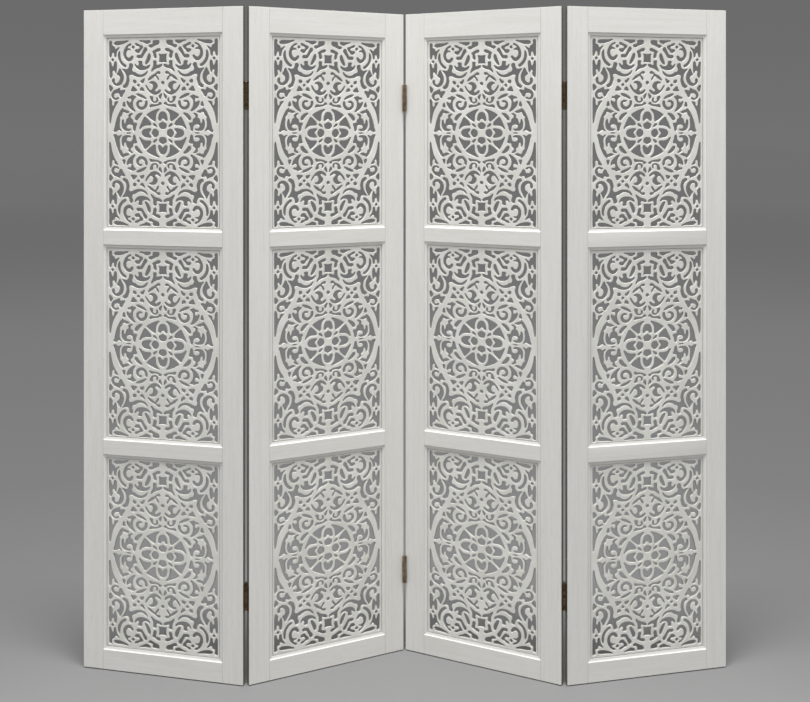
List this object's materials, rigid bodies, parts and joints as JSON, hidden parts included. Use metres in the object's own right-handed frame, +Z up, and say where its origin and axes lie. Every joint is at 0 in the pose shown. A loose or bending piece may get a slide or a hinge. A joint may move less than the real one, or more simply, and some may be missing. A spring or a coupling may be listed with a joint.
{
  "type": "carved jali screen",
  "caption": "Hinged zigzag folding screen of white-painted framed panels filled with pierced jali fretwork, for dividing a room.",
  "frame": {"origin": "on the floor below the middle of the standing screen's overall box", "axes": "+Z up; X across the screen, +X to the viewer's right; the front faces look along -Y"},
  "size_m": [1.788, 0.2378, 1.829],
  "materials": {
    "painted_frame_wood": "satin white paint over sawn grain",
    "painted_carved_board": "satin white paint, cut and sanded edges",
    "hinge_bronze": "antique bronze",
    "hinge_pin_steel": "bronzed"
  },
  "bodies": {
    "panel_1": {"panel_1_left_stile": "painted_frame_wood", "panel_1_right_stile": "painted_frame_wood", "panel_1_bottom_rail": "painted_frame_wood", "panel_1_lower_mid_rail": "painted_frame_wood", "panel_1_upper_mid_rail": "painted_frame_wood", "panel_1_top_rail": "painted_frame_wood", "panel_1_lower_fretwork": "painted_carved_board", "panel_1_middle_fretwork": "painted_carved_board", "panel_1_upper_fretwork": "painted_carved_board", "seam_1_upper_hinge_left_plate": "hinge_bronze", "seam_1_upper_hinge_pin": "hinge_pin_steel", "seam_1_lower_hinge_left_plate": "hinge_bronze", "seam_1_lower_hinge_pin": "hinge_pin_steel"},
    "panel_2": {"panel_2_left_stile": "painted_frame_wood", "panel_2_right_stile": "painted_frame_wood", "panel_2_bottom_rail": "painted_frame_wood", "panel_2_lower_mid_rail": "painted_frame_wood", "panel_2_upper_mid_rail": "painted_frame_wood", "panel_2_top_rail": "painted_frame_wood", "panel_2_lower_fretwork": "painted_carved_board", "panel_2_middle_fretwork": "painted_carved_board", "panel_2_upper_fretwork": "painted_carved_board", "seam_1_upper_hinge_right_plate": "hinge_bronze", "seam_1_lower_hinge_right_plate": "hinge_bronze", "seam_2_upper_hinge_left_plate": "hinge_bronze", "seam_2_upper_hinge_pin": "hinge_pin_steel", "seam_2_lower_hinge_left_plate": "hinge_bronze", "seam_2_lower_hinge_pin": "hinge_pin_steel"},
    "panel_3": {"panel_3_left_stile": "painted_frame_wood", "panel_3_right_stile": "painted_frame_wood", "panel_3_bottom_rail": "painted_frame_wood", "panel_3_lower_mid_rail": "painted_frame_wood", "panel_3_upper_mid_rail": "painted_frame_wood", "panel_3_top_rail": "painted_frame_wood", "panel_3_lower_fretwork": "painted_carved_board", "panel_3_middle_fretwork": "painted_carved_board", "panel_3_upper_fretwork": "painted_carved_board", "seam_2_upper_hinge_right_plate": "hinge_bronze", "seam_2_lower_hinge_right_plate": "hinge_bronze", "seam_3_upper_hinge_left_plate": "hinge_bronze", "seam_3_upper_hinge_pin": "hinge_pin_steel", "seam_3_lower_hinge_left_plate": "hinge_bronze", "seam_3_lower_hinge_pin": "hinge_pin_steel"},
    "panel_4": {"panel_4_left_stile": "painted_frame_wood", "panel_4_right_stile": "painted_frame_wood", "panel_4_bottom_rail": "painted_frame_wood", "panel_4_lower_mid_rail": "painted_frame_wood", "panel_4_upper_mid_rail": "painted_frame_wood", "panel_4_top_rail": "painted_frame_wood", "panel_4_lower_fretwork": "painted_carved_board", "panel_4_middle_fretwork": "painted_carved_board", "panel_4_upper_fretwork": "painted_carved_board", "seam_3_upper_hinge_right_plate": "hinge_bronze", "seam_3_lower_hinge_right_plate": "hinge_bronze"}
  },
  "joints": [
    {"name": "left_outer_fold", "type": "hinge", "parent": "panel_2", "child": "panel_1", "pos_m": [-0.43043, -0.09758, 0.9145], "axis": [0, 0, -1], "range_deg": [-42, 138]},
    {"name": "centre_fold", "type": "hinge", "parent": "panel_2", "child": "panel_3", "pos_m": [0, 0.09957, 0.9145], "axis": [0, 0, -1], "range_deg": [-56, 124]},
    {"name": "right_outer_fold", "type": "hinge", "parent": "panel_3", "child": "panel_4", "pos_m": [0.43043, -0.09758, 0.9145], "axis": [0, 0, 1], "range_deg": [-42, 138]}
  ]
}
